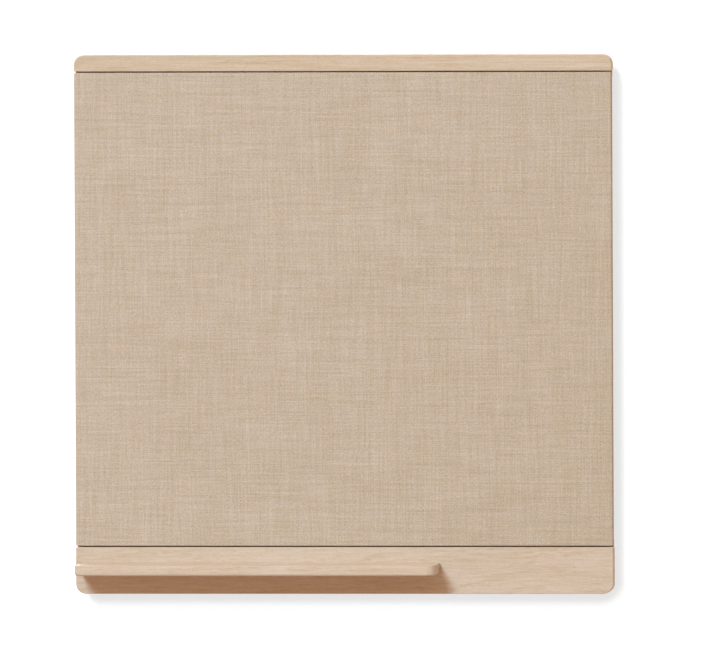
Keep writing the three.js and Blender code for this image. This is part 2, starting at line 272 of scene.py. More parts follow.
def make_edge_group():
    """How near a point is to an edge of a box, from 0 inside its faces to 1 on the edge itself. The
    sum of its two smaller distances to the faces tells it, within a width that is uneven."""
    inputs = {"Place": "Vector", "Low": "Vector", "High": "Vector", "Width": "Float"}
    w, given, out = new_group("handled edges", inputs, {"Edge": "Float"})
    below = w.vector("SUBTRACT", given["Place"], given["Low"])
    above = w.vector("SUBTRACT", given["High"], given["Place"])
    x, y, z = w.split(w.vector("MINIMUM", below, above))
    total = w.maths("ADD", w.maths("ADD", x, y), z)
    largest = w.maths("MAXIMUM", w.maths("MAXIMUM", x, y), z)
    smaller_two = w.maths("SUBTRACT", total, largest)
    uneven = w.noise(w.vector("MULTIPLY", given["Place"], (120, 120, 120)), detail=3.0)
    reach = w.maths("MULTIPLY", given["Width"], w.maths("ADD", uneven, 0.5))
    share = w.maths("DIVIDE", smaller_two, reach)
    w.feed(out, {"Edge": w.ramp(share, 0.0, 1.0, 1.0, 0.0)})
    return w.tree


def make_weave_group():
    """Plain weave over a cut in metres: each crossing shows the warp or the weft, and every yarn
    has its own tone and hue, which drift along it, with thicker slubs here and there."""
    inputs = {"Cut": "Vector", "Yarn": "Float"}
    outputs = {"Tone": "Float", "Height": "Float", "Slub": "Float", "Hue": "Float"}
    w, given, out = new_group("plain weave", inputs, outputs)
    per_metre, wander_length, wander_width = 1 / MM, 90, 3.0
    cut = w.vector("MULTIPLY", given["Cut"], (per_metre, per_metre, 0))
    wander = w.noise(w.vector("MULTIPLY", cut, (1 / wander_length, 1 / wander_length, 0)))
    shift = w.maths("MULTIPLY", w.maths("SUBTRACT", wander, 0.5), wander_width)
    u, v, _ = w.split(w.vector("ADD", cut, w.join(shift, shift, 0.0)))
    across, down = (w.maths("DIVIDE", side, given["Yarn"]) for side in (u, v))
    warp, weft = w.maths("FLOOR", across), w.maths("FLOOR", down)
    over = w.maths("MODULO", w.maths("ABSOLUTE", w.maths("ADD", warp, weft)), 2.0)

    def yarn_look(index, along, seed, streak, steady):
        """One yarn's drift, which is its own shade and a slow change, its streaks, a lone slub
        now and then, and its hue. A streak is so many millimetres long."""
        apart = 7.31
        yarn = w.maths("MULTIPLY_ADD", index, apart, seed)

        def changing(length, layer, detail=1.0):
            """Noise that changes along the yarn over a length in millimetres."""
            return w.noise(w.join(yarn, w.maths("DIVIDE", along, length), layer), detail)

        own = w.noise(w.join(yarn, 0.0, 13.0), detail=0.0)
        slow = w.maths("SUBTRACT", changing(length=65.0, layer=0.37), 0.5)
        drift = w.maths("MULTIPLY_ADD", own, 0.2, w.maths("MULTIPLY_ADD", slow, steady, 0.4))
        streaks = changing(length=streak, layer=5.0)
        slub = w.ramp(changing(length=9.0, layer=9.0, detail=0.0), 0.66, 0.8)
        hue = w.ramp(changing(length=2.6, layer=21.4), 0.25, 0.75)
        return drift, streaks, slub, hue

    def crown(side, power):
        """A rounded yarn: one half wave across its width."""
        wave = w.maths("SINE", w.maths("MULTIPLY", w.maths("FRACT", side), math.pi))
        return w.maths("POWER", wave, power)

    warp_look = yarn_look(warp, v, seed=3.7, streak=1.4, steady=0.8)
    weft_look = yarn_look(weft, u, seed=51.3, streak=3.4, steady=0.85)
    drift, streaks, slub, hue = (w.blend(over, *both) for both in zip(weft_look, warp_look))
    width_power, length_power = 0.8, 0.45
    warp_height = w.maths("MULTIPLY", crown(across, width_power), crown(down, length_power))
    weft_height = w.maths("MULTIPLY", crown(down, width_power), crown(across, length_power))
    crossing = w.blend(over, weft_height, warp_height)
    results = {
        "Tone": w.maths("MULTIPLY_ADD", drift, 0.55, w.maths("MULTIPLY", streaks, 0.45)),
        "Height": w.maths("MULTIPLY_ADD", slub, 0.4, crossing),
        "Slub": slub,
        "Hue": hue,
    }
    w.feed(out, results)
    return w.tree


wood_group = make_wood_group()
edge_group = make_edge_group()
weave_group = make_weave_group()


# Materials


def oak(name, heart, tilt, low, high, tone, sway=9.0, knot=None, specks=()):
    """Pale soaped oak, grain along X, paler where hands have rubbed its edges, and paler on faces
    that look up as painted light from above. A knot is a soft pale eye with a brown trail to its
    left, and a speck is a lone dark pore; both are given by their place on the face. The tone is
    this board's own cast."""
    material, w, shader = new_material(name)
    coordinates = w.node("TexCoord").outputs
    place = coordinates["Object"]
    bent = place
    if knot:
        x, _, z = w.split(w.vector("SUBTRACT", place, knot))
        slant = w.maths("MULTIPLY_ADD", x, -0.5, z)
        away = w.join(w.maths("MULTIPLY", x, 150), 0.0, w.maths("MULTIPLY", slant, 420))
        trail = w.join(w.maths("MULTIPLY_ADD", x, 75, 0.9), 0.0, w.maths("MULTIPLY", slant, 300))
        near = w.ramp(w.length(away), 3.0, 0.0)
        side = w.maths("MULTIPLY", near, w.maths("SINE", w.split(away)[2]))
        pushed = w.maths("MULTIPLY", side, -1.1 * MM)
        bent = w.vector("ADD", place, w.join(0.0, 0.0, pushed))
    values = {
        "Place": bent,
        "Heart": heart,
        "Tilt": tilt,
        "Ring": 6.0,
        "Sway": sway,
        "Contrast": 0.55,
        "Pore depth": 0.5,
        "Pale": (0.727, 0.608, 0.504, 1),
        "Dark": (0.563, 0.415, 0.265, 1),
    }
    wood = w.group(wood_group, values)
    colour = w.mix(1.0, wood["Colour"], (*tone, 1), "MULTIPLY")
    trail_brown, eye_straw = (0.53, 0.375, 0.235, 1), (0.73, 0.60, 0.47, 1)
    speck_brown, rubbed_and_lit_oak = (0.25, 0.16, 0.09, 1), (0.76, 0.645, 0.54, 1)
    if knot:
        smear = w.maths("MULTIPLY", w.ramp(w.length(trail), 1.5, 0.2), 0.25)
        colour = w.mix(smear, colour, trail_brown)
        eye = w.maths("MULTIPLY", w.ramp(w.length(away), 1.2, 0.3), 0.5)
        colour = w.mix(eye, colour, eye_straw)
    for speck in specks:
        apart = w.vector("SUBTRACT", place, speck)
        far = w.length(w.vector("MULTIPLY", apart, (900, 0, 1300)))
        colour = w.mix(w.maths("MULTIPLY", w.ramp(far, 1.2, 0.4), 0.7), colour, speck_brown)
    edge_values = {"Place": place, "Low": tuple(low), "High": tuple(high), "Width": 3 * MM}
    edge = w.group(edge_group, edge_values)["Edge"]
    # painted highlight: faces that look up are mixed towards paler oak as if lit from above; the
    # edge mask is real wear
    painted_top_light = w.ramp(w.split(coordinates["Normal"])[2], 0.5, 0.9)
    wear_and_top_light = w.maths("MULTIPLY", w.maths("MAXIMUM", edge, painted_top_light), 0.15)
    colour = w.mix(wear_and_top_light, colour, rubbed_and_lit_oak)
    soaped = w.maths("SUBTRACT", wood["Roughness"], 0.04)
    roughness = w.maths("MULTIPLY_ADD", edge, -0.08, soaped)
    finish_shader(
        w, shader, colour, roughness, wood["Height"], relief=0.08 * MM, Specular_IOR_Level=0.08
    )
    return material


def linen():
    """Natural linen in a plain weave, its yarns from pale straw to grey brown, with a painted light
    falloff that makes it a little paler towards the upper left."""
    material, w, shader = new_material("natural linen")
    cut = w.node("UVMap", uv_map="cut").outputs[0]
    grey_brown, straw = (0.485, 0.375, 0.245, 1), (0.815, 0.713, 0.645, 1)
    slub_brown, painted_trough_shade, white = (0.42, 0.325, 0.235, 1), (0.76, 0.69, 0.58, 1), (1, 1, 1, 1)
    warm_cast, cool_cast = (1.07, 1.0, 0.90, 1), (0.93, 1.0, 1.10, 1)
    weave = w.group(weave_group, {"Cut": cut, "Yarn": 1.1})
    share = w.ramp(weave["Tone"], 0.2, 0.8)
    for scale, part in ((9, 0.1), (26, 0.15), (620, 0.9)):
        cloudy = w.noise(w.vector("MULTIPLY", cut, (scale, scale, 0)))
        share = w.maths("MULTIPLY_ADD", w.maths("SUBTRACT", cloudy, 0.5), part, share)
    # painted light falloff: the cloth turns paler towards the upper left and darker towards the
    # lower right
    x, _, z = w.split(w.node("TexCoord").outputs["Object"])
    middle_z = float(linen_low[2] + linen_high[2]) / 2
    slant = w.maths("SUBTRACT", w.maths("SUBTRACT", z, x), middle_z)
    share = w.maths("MULTIPLY_ADD", slant, 0.11, share)
    yarns = w.mix(share, grey_brown, straw)
    slubs = w.mix(w.maths("MULTIPLY", weave["Slub"], 0.35), yarns, slub_brown)
    # painted shade: the weave's troughs between the yarn crowns are darkened towards brown
    shade = w.mix(w.ramp(weave["Height"], 0.0, 0.5), painted_trough_shade, white)
    colour = w.mix(1.0, slubs, shade, "MULTIPLY")
    cast = w.mix(weave["Hue"], warm_cast, cool_cast)
    colour = w.mix(1.0, colour, cast, "MULTIPLY")
    roughness = w.maths("MULTIPLY_ADD", weave["Height"], -0.08, 0.93)
    finish_shader(
        w, shader, colour, roughness, weave["Height"], relief=0.22 * MM,
        Specular_IOR_Level=0.1, Sheen_Weight=0.12, Sheen_Roughness=0.5,
    )
    return material


def plywood(name, low, high, grain_axis):
    """Birch plywood: rotary-cut veneer on the faces and crossed plies on the edges."""
    material, w, shader = new_material(name)
    coordinates = w.node("TexCoord").outputs
    x, y, z = w.split(coordinates["Object"])
    turned = w.join(z, y, x) if grain_axis == "Z" else coordinates["Object"]
    values = {
        "Place": turned,
        "Heart": (0.0, 95.0, low[0] * 400),
        "Tilt": (0.0, 0.05, 0.02),
        "Ring": 14.0,
        "Sway": 24.0,
        "Contrast": 0.6,
        "Pore depth": 0.2,
        "Pale": (0.69, 0.53, 0.345, 1),
        "Dark": (0.52, 0.36, 0.205, 1),
    }
    veneer = w.group(wood_group, values)
    ply_thickness = 1.35 * MM
    long_ply, cross_ply = (0.63, 0.47, 0.29, 1), (0.40, 0.27, 0.15, 1)
    end_brown, rubbed_birch = (0.30, 0.20, 0.11, 1), (0.74, 0.60, 0.42, 1)
    depth = w.maths("DIVIDE", w.maths("SUBTRACT", y, float(low[1])), ply_thickness)
    crossed = w.ramp(w.maths("PINGPONG", depth, 1.0), 0.42, 0.58)
    end_grain = w.noise(w.vector("MULTIPLY", coordinates["Object"], (900, 2500, 900)))
    plies = w.mix(crossed, long_ply, cross_ply)
    plies = w.mix(w.maths("MULTIPLY", end_grain, 0.45), plies, end_brown)
    facing = w.maths("ABSOLUTE", w.split(coordinates["Normal"])[1])
    on_edge = w.ramp(facing, 0.75, 0.45)
    colour = w.mix(on_edge, veneer["Colour"], plies)
    corners = {"Low": tuple(low), "High": tuple(high)}
    edge = w.group(edge_group, {"Place": coordinates["Object"], **corners, "Width": 2 * MM})["Edge"]
    colour = w.mix(w.maths("MULTIPLY", edge, 0.2), colour, rubbed_birch)
    finish_shader(
        w, shader, colour, veneer["Roughness"], veneer["Height"],
        relief=0.12 * MM, Specular_IOR_Level=0.3,
    )
    return material


def beech():
    """Turned beech: close rings and short darker flecks along Y, the dowel's own axis."""
    material, w, shader = new_material("turned beech")
    x, y, z = w.split(w.node("TexCoord").outputs["Object"])
    values = {
        "Place": w.join(y, x, z),
        "Heart": (0.0, 20.0, -690.0),
        "Tilt": (0.0, 0.0, 0.0),
        "Ring": 1.6,
        "Sway": 2.0,
        "Contrast": 0.6,
        "Pore depth": 0.35,
        "Pale": (0.66, 0.45, 0.28, 1),
        "Dark": (0.47, 0.29, 0.16, 1),
    }
    wood = w.group(wood_group, values)
    finish_shader(w, shader, wood["Colour"], wood["Roughness"], wood["Height"], relief=0.1 * MM)
    return material


def softboard():
    """Pressed wood-fibre board: short matted fibres in browns."""
    material, w, shader = new_material("fibre softboard")
    place = w.node("TexCoord").outputs["Object"]
    dark_brown, pale_brown = (0.27, 0.175, 0.095, 1), (0.52, 0.37, 0.23, 1)
    matted = w.noise(w.vector("MULTIPLY", place, (900, 2600, 420)), detail=5.0, roughness=0.7)
    clumps = w.noise(w.vector("MULTIPLY", place, (160, 300, 130)), detail=3.0)
    share = w.maths("MULTIPLY_ADD", clumps, 0.35, w.maths("MULTIPLY", matted, 0.65))
    colour = w.mix(w.ramp(share, 0.3, 0.7), dark_brown, pale_brown)
    roughness = w.maths("MULTIPLY_ADD", matted, 0.1, 0.85)
    finish_shader(w, shader, colour, roughness, matted, relief=0.3 * MM, Specular_IOR_Level=0.2)
    return material


def plated_steel(name, tint, dull):
    """Zinc-plated steel: fine drawn scratches, a mottled plating and handling marks."""
    material, w, shader = new_material(name)
    place = w.node("TexCoord").outputs["Object"]
    darker = tuple(0.72 * part for part in tint)
    mark_grey = (0.30, 0.29, 0.28, 1)
    drawn = w.noise(w.vector("MULTIPLY", place, (5200, 5200, 240)), roughness=0.6)
    mottle = w.noise(w.vector("MULTIPLY", place, (420, 420, 420)), detail=3.0, roughness=0.6)
    handled = w.noise(w.vector("MULTIPLY", place, (1400, 1400, 900)), detail=1.0)
    marks = w.maths("MULTIPLY", w.ramp(handled, 0.62, 0.7), 0.25)
    colour = w.mix(w.ramp(mottle, 0.3, 0.75), (*darker, 1), (*tint, 1))
    colour = w.mix(marks, colour, mark_grey)
    roughness = w.maths("MULTIPLY_ADD", mottle, 0.22, w.maths("MULTIPLY_ADD", drawn, 0.12, dull))
    finish_shader(w, shader, colour, roughness, drawn, relief=0.03 * MM, Metallic=1.0)
    return material


def felt():
    """Pressed wool felt: tangled fibres over a clumped ground."""
    material, w, shader = new_material("grey felt")
    place = w.node("TexCoord").outputs["Object"]
    dark_grey, pale_grey = (0.17, 0.16, 0.15, 1), (0.42, 0.40, 0.375, 1)
    tangle = w.noise(w.vector("MULTIPLY", place, (1700, 1700, 1700)), detail=5.0, roughness=0.75)
    clumps = w.noise(w.vector("MULTIPLY", place, (380, 380, 380)))
    share = w.maths("MULTIPLY_ADD", clumps, 0.4, w.maths("MULTIPLY", tangle, 0.6))
    colour = w.mix(w.ramp(share, 0.32, 0.68), dark_grey, pale_grey)
    roughness = w.maths("MULTIPLY_ADD", tangle, 0.06, 0.92)
    finish_shader(
        w, shader, colour, roughness, tangle, relief=0.5 * MM,
        Specular_IOR_Level=0.1, Sheen_Weight=0.3, Sheen_Roughness=0.6,
    )
    return material


# Meshes


def put(name, data):
    """A new object in the scene."""
    made = bpy.data.objects.new(name, data)
    bpy.context.scene.collection.objects.link(made)
    return made


def grid(shape, poles=False):
    """An index grid for rows of points; with poles, its first and last rows are one point each."""
    index = np.arange(shape[0] * shape[1]).reshape(shape)
    if poles:
        index[0], index[-1] = index[0, 0], index[-1, 0]
    return index


def quads(index, wrap=False):
    """Faces between neighbours in an index grid; wrap joins the last column to the first."""
    right = np.roll(index, -1, axis=1)
    faces = np.stack([index[:-1], right[:-1], right[1:], index[1:]], axis=-1)
    return (faces if wrap else faces[:, :-1]).reshape(-1, 4)


def arc(start, end, steps):
    """Angles from start to end in degrees, as radians."""
    return np.radians(np.linspace(start, end, steps + 1))


def round_angles(count):
    """That many angles, evenly spread over a full turn."""
    return np.linspace(0, 2 * math.pi, count, endpoint=False)


def new_piece(name, points, faces, material, flat_faces=(), cut=None):
    """A named mesh object that rides on the board. A corner that a face names twice is dropped,
    and so is a point that no face uses; cut holds each point's place in the flat cloth."""
    corners = [tuple(dict.fromkeys(face)) for face in [*np.asarray(faces).tolist(), *flat_faces]]
    flat_from = len(faces)
    kept = [(face, place >= flat_from) for place, face in enumerate(corners) if len(face) > 2]
    every_corner = np.concatenate([face for face, _ in kept])
    used, renamed = np.unique(every_corner, return_inverse=True)
    ends = np.cumsum([len(face) for face, _ in kept])[:-1]
    loops = [part.tolist() for part in np.split(renamed, ends)]
    mesh = bpy.data.meshes.new(name)
    mesh.from_pydata(np.asarray(points).reshape(-1, 3)[used].tolist(), [], loops)
    mesh.polygons.foreach_set("use_smooth", [not flat for _, flat in kept])
    if cut is not None:
        layer = mesh.uv_layers.new(name="cut")
        layer.data.foreach_set("uv", cut.reshape(-1, 2)[used][renamed].ravel())
    mesh.materials.append(material)
    mesh.validate()
    piece = put(name, mesh)
    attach(piece, "root")
    return piece


def make_ledge():
    """The ledge: its plan, from the back along the left side, round a square corner, along the
    front and round a wide nose to the back again, is drawn in by each height's inset. Insets follow
    a quarter circle below and a smaller one above, and the points on the back edge stay on it. Two
    caps and the flat back close it."""
    low, high = ledge_low, ledge_high

    def front_corner(centre_x, radius, angle):
        """A rounded corner's rows: its centre, its radius and the way out at each point."""
        rows = np.broadcast_arrays(centre_x, low[1] + radius, radius, angle)
        return np.stack(rows, axis=-1)

    plan = np.concatenate([
        [(low[0], high[1], 0.0, math.pi)],
        front_corner(low[0] + square_radius, square_radius, arc(180, 270, square_steps)),
        front_corner(high[0] - nose_radius, nose_radius, arc(270, 360, nose_steps)),
        [(high[0], high[1], 0.0, 0.0)],
    ])
    centre_x, centre_y, reach, angle = plan.T
    below, above = arc(0, 90, under_steps), arc(0, 90, top_steps)
    inset = np.concatenate([under_radius * (1 - np.sin(below)), top_ease * (1 - np.cos(above))])
    rise = under_radius * (1 - np.cos(below))
    drop = top_ease * (1 - np.sin(above))
    height = np.concatenate([low[2] + rise, high[2] - drop])
    drawn = reach - inset[:, None]
    x = centre_x + drawn * np.cos(angle)
    y = centre_y + drawn * np.sin(angle)
    y[:, [0, -1]] = high[1]
    points = np.stack(np.broadcast_arrays(x, y, height[:, None]), axis=-1)
    index = grid(x.shape)
    back = np.concatenate([index[:, 0], index[::-1, -1]])
    caps = [face.tolist() for face in (index[0, ::-1], index[-1], back)]
    heart, tilt = (0.0, 30.0, -742.0), (0.0, 0.05, 0.0)
    material = oak("ledge oak", heart, tilt, low, high, tone=(1.0, 1.01, 1.045))
    ledge = new_piece("oak_ledge", points, quads(index), material, caps)
    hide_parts("ledge")
    return ledge


def cloth_rings():
    """The outline's points, in order round the panel: where each lies along its side, from -1 to 1
    both ways, and which way the panel's edge faces there."""
    along_x, along_z = (np.linspace(-1, 1, count + 1) for count in (cloth_across, cloth_down))
    one_x, one_z = np.ones_like(along_x), np.ones_like(along_z)
    sides = [
        (along_x, -one_x, (0, -1), 270),
        (one_z, along_z, (1, 0), 0),
        (along_x[::-1], one_x, (0, 1), 90),
        (-one_z, along_z[::-1], (-1, 0), 180),
    ]
    places, facing = [], []
    for side_x, side_z, face, start in sides:
        side = np.stack([side_x, side_z], axis=-1)
        angle = arc(start, start + 90, corner_points + 1)[1:-1]
        turning = np.stack([np.cos(angle), np.sin(angle)], axis=-1)
        places += [side, np.broadcast_to(side[-1], turning.shape)]
        facing += [np.broadcast_to(face, side.shape), turning]
    return np.concatenate(places), np.concatenate(facing)


def cloth_profile():
    """From the flat front, round the front edge, over the side, round the back edge and in along
    the hem: each ring's inset from the outline, its depth behind the front and its way along the
    cloth, which is 0 where the front edge's round starts."""
    radius, depth = linen_edge_radius, linen_high[1] - linen_low[1]
    flat = np.array([front_margin, second_ring])
    front, back = arc(0, 90, 6), arc(0, 90, 5)
    side = np.linspace(radius, depth - radius, 5)[1:-1]
    hem = np.linspace(radius, hem_width, 13)[1:]
    inset = [flat, radius * (1 - np.sin(front)), 0 * side, radius * (1 - np.cos(back)), hem]
    behind = [
        0 * flat,
        radius * (1 - np.cos(front)),
        side,
        depth - radius * (1 - np.sin(back)),
        0 * hem + depth,
    ]
    inset, behind = np.concatenate(inset), np.concatenate(behind)
    way = np.concatenate([[0], np.cumsum(np.hypot(np.diff(inset), np.diff(behind)))])
    return inset, behind, way - way[len(flat)]


def staple_places():
    """Crown centres and directions, round the hem in the board's plane, clear of the battens."""
    half_x = (linen_high[0] - linen_low[0]) / 2
    middle_z = (linen_high[2] + linen_low[2]) / 2
    half_z = (linen_high[2] - linen_low[2]) / 2
    places = []
    for length, other, turned in ((half_x, half_z, False), (half_z, half_x, True)):
        count = int((length - staple_end) // staple_pitch)
        for along in np.arange(-count, count + 1) * staple_pitch:
            for sign in (-1, 1):
                across = sign * (other - staple_inset)
                x, z = (across, along) if turned else (along, across)
                places.append((x, middle_z + z, turned))
    batten_low, batten_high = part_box("right_batten")
    inner, outer = batten_low.x - batten_clearance, batten_high.x + batten_clearance
    return [(x, z, turned) for x, z, turned in places if not inner < abs(x) < outer]


def make_cloth(staples):
    """The linen: a flat front grid, then rings that carry it round the panel's rounded edge and in
    as a mitred hem. Near the edge the front falls back a little, the left and right sides swell by
    half a sine wave, and each staple dents the hem."""
    places, facing = cloth_rings()
    inset, behind, way = (values[:, None] for values in cloth_profile())
    half = np.array([linen_high[0] - linen_low[0], linen_high[2] - linen_low[2]]) / 2
    middle_z = (linen_high[2] + linen_low[2]) / 2
    corner = np.maximum(linen_corner_radius - inset, mitre_radius)[..., None]
    corner[0] = 0
    centre = places * (half - inset[..., None] - corner)
    plan = centre + facing * corner
    plan[..., 0] += facing[..., 0] * side_swell * np.sin(math.pi * behind / behind[-1])

    turned = facing**2
    beyond = np.abs(facing * (half - linen_edge_radius + way[..., None]))
    outward = np.sign(facing) * beyond / np.maximum(np.abs(facing), 1e-9)
    cut = (1 - turned) * centre + turned * outward

    depth = np.broadcast_to(behind, plan.shape[:2]).copy()
    on_hem = np.broadcast_to((inset > linen_edge_radius) & (behind > behind[-1] / 2), depth.shape)
    crowns = np.array([(x, z - middle_z) for x, z, _ in staples])
    gap = np.linalg.norm(plan[:, :, None] - crowns, axis=-1).min(axis=-1)
    depth -= np.where(on_hem, staple_press * np.exp(-((gap / press_reach) ** 2)), 0)
    in_corner = np.all(turned > 0.02, axis=-1)  # facing neither side squarely
    depth -= np.where(on_hem & in_corner, mitre_tuck, 0)
    rings = np.stack([plan[..., 0], linen_low[1] + depth, middle_z + plan[..., 1]], axis=-1)

    flat_x = np.linspace(-1, 1, cloth_across + 1) * (half[0] - front_margin)
    flat_z = np.linspace(-1, 1, cloth_down + 1) * (half[1] - front_margin)
    x, z = np.meshgrid(flat_x, flat_z)
    front = np.stack([x, np.full_like(x, linen_low[1]), middle_z + z], axis=-1)
    front_index = grid(x.shape)
    ring_index = x.size + grid(rings.shape[:2])
    sides = (front_index[0], front_index[:, -1], front_index[-1, ::-1], front_index[::-1, 0])
    ring_index[0] = np.concatenate([np.append(side, [side[-1]] * corner_points) for side in sides])
    points = np.concatenate([front.reshape(-1, 3), rings.reshape(-1, 3)])
    near = np.minimum(half[0] - np.abs(points[:, 0]), half[1] - np.abs(points[:, 2] - middle_z))
    on_front = points[:, 1] < linen_low[1] + linen_edge_radius
    points[:, 1] += np.where(on_front, front_fall * np.exp(-near / fall_reach), 0)
    flat = np.concatenate([np.stack([x, z], axis=-1).reshape(-1, 2), cut.reshape(-1, 2)])
    faces = np.concatenate([quads(front_index), quads(ring_index[::-1], wrap=True)])
    positive = 0.5
    cloth = new_piece("linen_cloth", points, faces, linen(), cut=flat + positive)
    shell = cloth.modifiers.new("cloth thickness", "SOLIDIFY")
    shell.thickness, shell.offset = linen_thickness, -1
    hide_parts("linen_cover")
    return cloth


def make_staples(places, material):
    """All the hem's staples as one piece: a bar of flattened round section that goes up one leg,
    round a bend, along the crown, round and down the other leg."""
    half, bend, leg = 4.6 * MM, 0.9 * MM, 2.2 * MM
    thick, wide = 0.28 * MM, 0.6 * MM
    columns = 8
    quarter = arc(0, 90, 3)
    corner_along = half - bend + bend * np.sin(quarter)
    corner_out = -bend + bend * np.cos(quarter)
    along = np.concatenate([[-half], -corner_along[::-1], corner_along, [half]])
    out = np.concatenate([[-leg], corner_out[::-1], corner_out, [-leg]])
    lean_along, lean_out = np.gradient(along), np.gradient(out)
    norm = np.hypot(lean_along, lean_out)
    side_along, side_out = -lean_out / norm, lean_along / norm
    angle = round_angles(columns)
    ring_along = along[:, None] + side_along[:, None] * thick * np.cos(angle)
    ring_out = out[:, None] + side_out[:, None] * thick * np.cos(angle)
    ring_across = np.broadcast_to(wide * np.sin(angle), ring_along.shape)
    shape = np.stack([ring_along, ring_out, ring_across], axis=-1)
    first, last = (
        end.mean(axis=1, keepdims=True).repeat(columns, axis=1) for end in (shape[:1], shape[-1:])
    )
    shape = np.concatenate([first, shape, last])
    faces = quads(grid(shape.shape[:2], poles=True), wrap=True)
    rng = np.random.default_rng(staple_seed)
    all_points, all_faces = [], []
    for place, (x, z, turned) in enumerate(places):
        skew = rng.normal(0, staple_skew) + (math.pi / 2 if turned else 0)
        c, s = math.cos(skew), math.sin(skew)
        dx = shape[..., 0] * c - shape[..., 2] * s
        dz = shape[..., 0] * s + shape[..., 2] * c
        y = linen_high[1] - staple_press + thick + shape[..., 1]
        all_points.append(np.stack([x + dx, y, z + dz], axis=-1).reshape(-1, 3))
        all_faces.append(faces + place * shape.shape[0] * columns)
    points, faces = np.concatenate(all_points), np.concatenate(all_faces)
    return new_piece("hem_staples", points, faces, material)


def make_screw(node, pitch, material):
    """A countersunk screw about its node's axis. From the recess's floor its points go out over the
    six-lobed mouth and the flat head, down the cone, then along a thread whose height rises and
    falls once for every turn, and to the tip. The head's rings are given as radius and depth."""
    low, high = (np.array(corner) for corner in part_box(node))
    centre_x, centre_z = (low[0] + high[0]) / 2, (low[2] + high[2]) / 2
    length, head = high[1] - low[1], (high[0] - low[0]) / 2
    shank, rim = head / 2, 0.1 * head
    columns = 24
    angle = round_angles(columns)
    recess = [(0.0, 0.42 * head), (0.30 * head, 0.40 * head), (0.40 * head, 0.05 * head)]
    mouth = [(0.42 * head, 0.0)]
    flat = [(0.97 * head, 0.0), (head, 0.03 * head)]
    cone = [(head, rim), (1.02 * shank, rim + head - shank)]
    head_radius, head_depth = np.array(recess + mouth + flat + cone).T[..., None] * np.ones(columns)
    head_radius[1:4] *= 1 + lobe_depth * np.cos(recess_lobes * angle)
    start, step = rim + head - shank, pitch / steps_per_turn
    depth = np.arange(start + step, length - step, step)[:, None] * np.ones(columns)
    phase = (depth / pitch - angle / (2 * math.pi)) % 1
    wave = 1 - np.abs(2 * phase - 1)
    taper = np.clip((length - depth) / (tip_turns * pitch), 0, 1)
    fade = np.clip((depth - start) / (run_in_turns * pitch), 0, 1)
    body = shank * (1 - fade * thread_depth * (1 - wave**2)) * np.sqrt(taper)
    radius = np.concatenate([head_radius, body, np.zeros((1, columns))])
    depth = np.concatenate([head_depth, depth, np.full((1, columns), length)])
    x, z = centre_x + radius * np.cos(angle), centre_z + radius * np.sin(angle)
    points = np.stack([x, high[1] - depth, z], axis=-1)
    faces = quads(grid(radius.shape, poles=True), wrap=True)
    screw = new_piece(f"{node}_threaded", points, faces, material)
    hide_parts(node)
    return screw


def make_pad(node, material):
    """A felt pad about its node's axis: a rounded disc whose rim and faces are ruffled by waves."""
    low, high = (np.array(corner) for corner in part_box(node))
    centre_x, centre_z = (low[0] + high[0]) / 2, (low[2] + high[2]) / 2
    radius, thickness = (high[0] - low[0]) / 2, high[1] - low[1]
    ease = pad_ease * thickness
    columns = 48
    angle, soft = round_angles(columns), arc(0, 90, 4)
    lower, upper = (radius - ease + ease * part(soft) for part in (np.sin, np.cos))
    out = np.concatenate([[0, 0.35, 0.7], lower / radius, upper / radius, [0.7, 0.35, 0]])
    first, last = ease * (1 - np.cos(soft)), thickness - ease * (1 - np.sin(soft))
    rise = np.concatenate([[0] * 3, first, last, [thickness] * 3])
    rng = np.random.default_rng(int(abs(centre_x + 3 * centre_z) * 1e5))
    ruffle = 1 - rim_ruffle * rng.random((len(out), columns))
    ruffle[0], ruffle[-1] = 1, 1
    reach = out[:, None] * radius * ruffle
    dent = face_dent * rng.random((len(out), columns)) * np.sign(thickness / 2 - rise)[:, None]
    dent[0], dent[-1] = 0, 0
    y = low[1] + np.clip(rise[:, None] + dent, 0, thickness)
    x, z = centre_x + reach * np.cos(angle), centre_z + reach * np.sin(angle)
    points = np.stack([x, y, z], axis=-1)
    faces = quads(grid(reach.shape, poles=True)[::-1], wrap=True)
    pad = new_piece(f"{node}_felt", points, faces, material)
    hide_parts(node)
    return pad


def dress(node, material):
    """Gives a CAD node's own object a finished material."""
    nodes[node].material_slots[0].material = material


def make_board():
    """Every piece of the board: finishes for the CAD's own meshes, and new meshes for the screws,
    the pads, the staples, the cloth and the ledge."""
    heart, tilt = (0.0, 70.0, -60.0), (0.0, 0.03, 0.02)
    dress("top_rail", oak("top rail oak", heart, tilt, top_low, top_high, (1, 1, 1), sway=4.0))
    front, foot = rail_low[1], rail_low[2]
    knot = (274 * MM, front, foot + 51 * MM)
    specks = [(321 * MM, front, foot + height) for height in (37.5 * MM, 30.7 * MM)]
    heart, tilt = (120.0, 45.0, -790.0), (0.0, 0.04, -0.05)
    bottom_oak = oak(
        "bottom rail oak", heart, tilt, rail_low, rail_high,
        tone=(0.987, 0.995, 1.035), sway=22.0, knot=knot, specks=specks,
    )
    dress("bottom_rail", bottom_oak)
    for node in ("left_batten", "right_batten"):
        dress(node, plywood(f"{node} plywood", *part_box(node), "Z"))
    dress("backing_board", plywood("backing board plywood", *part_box("backing_board"), "X"))
    dress("pin_core", softboard())
    dowel_stock = beech()
    for node in ("ledge_dowel_left", "ledge_dowel_right"):
        dress(node, dowel_stock)
    plate = plated_steel("plated hanger steel", (0.60, 0.60, 0.58), 0.26)
    for node in ("left_hanger", "right_hanger"):
        dress(node, plate)
    screw_steel = plated_steel("plated screw steel", (0.62, 0.59, 0.50), 0.22)
    pad_felt = felt()
    for node in sorted(nodes):
        if "_screw" in node:
            make_screw(node, hanger_pitch if "hanger" in node else wood_pitch, screw_steel)
        if node.endswith("_pad"):
            make_pad(node, pad_felt)
    staples = staple_places()
    make_staples(staples, plated_steel("staple wire", (0.56, 0.56, 0.56), 0.24))
    make_cloth(staples)
    make_ledge()


# Studio


